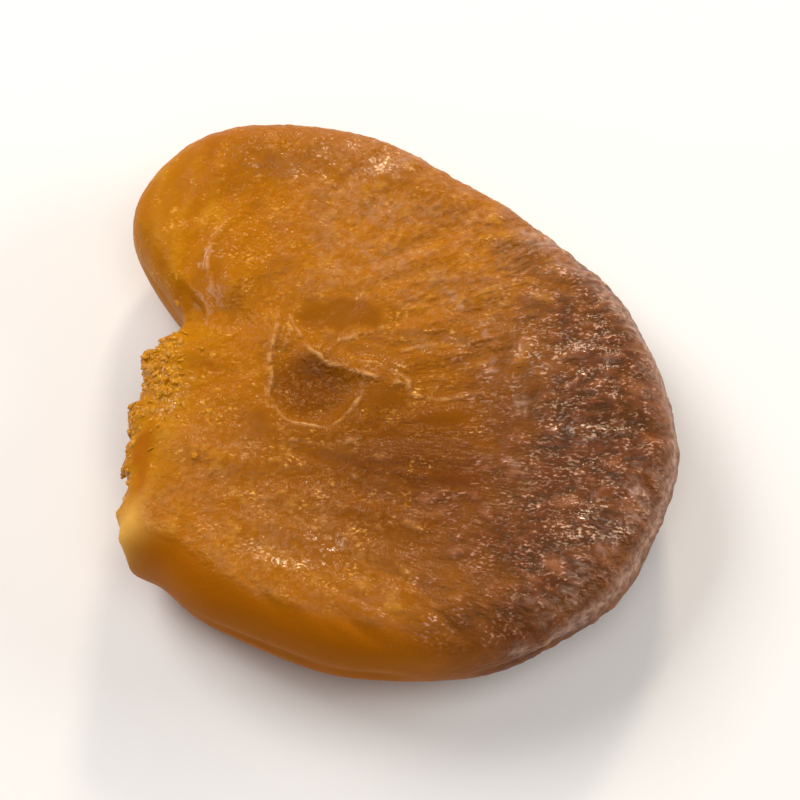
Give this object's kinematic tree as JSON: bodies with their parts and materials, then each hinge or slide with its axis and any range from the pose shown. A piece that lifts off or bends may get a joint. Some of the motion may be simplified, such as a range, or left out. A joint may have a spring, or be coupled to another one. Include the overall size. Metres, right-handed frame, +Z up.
{
  "type": "dried apricot",
  "caption": "Whole stoned dried apricot, pressed flat, with a dished pleated face, a dimple, a stem notch and a torn mouth at one edge, lying on a small flat spot.",
  "frame": {"origin": "on the surface the fruit lies on, under the middle of its outline", "axes": "+Z up, out of the dished face; -X towards the torn mouth; +Y towards the side with the stem lobe"},
  "size_m": [0.0414, 0.0454, 0.0108],
  "materials": {
    "dried_apricot_flesh": "satin"
  },
  "bodies": {
    "root": {"dried_apricot": "dried_apricot_flesh"}
  },
  "joints": []
}
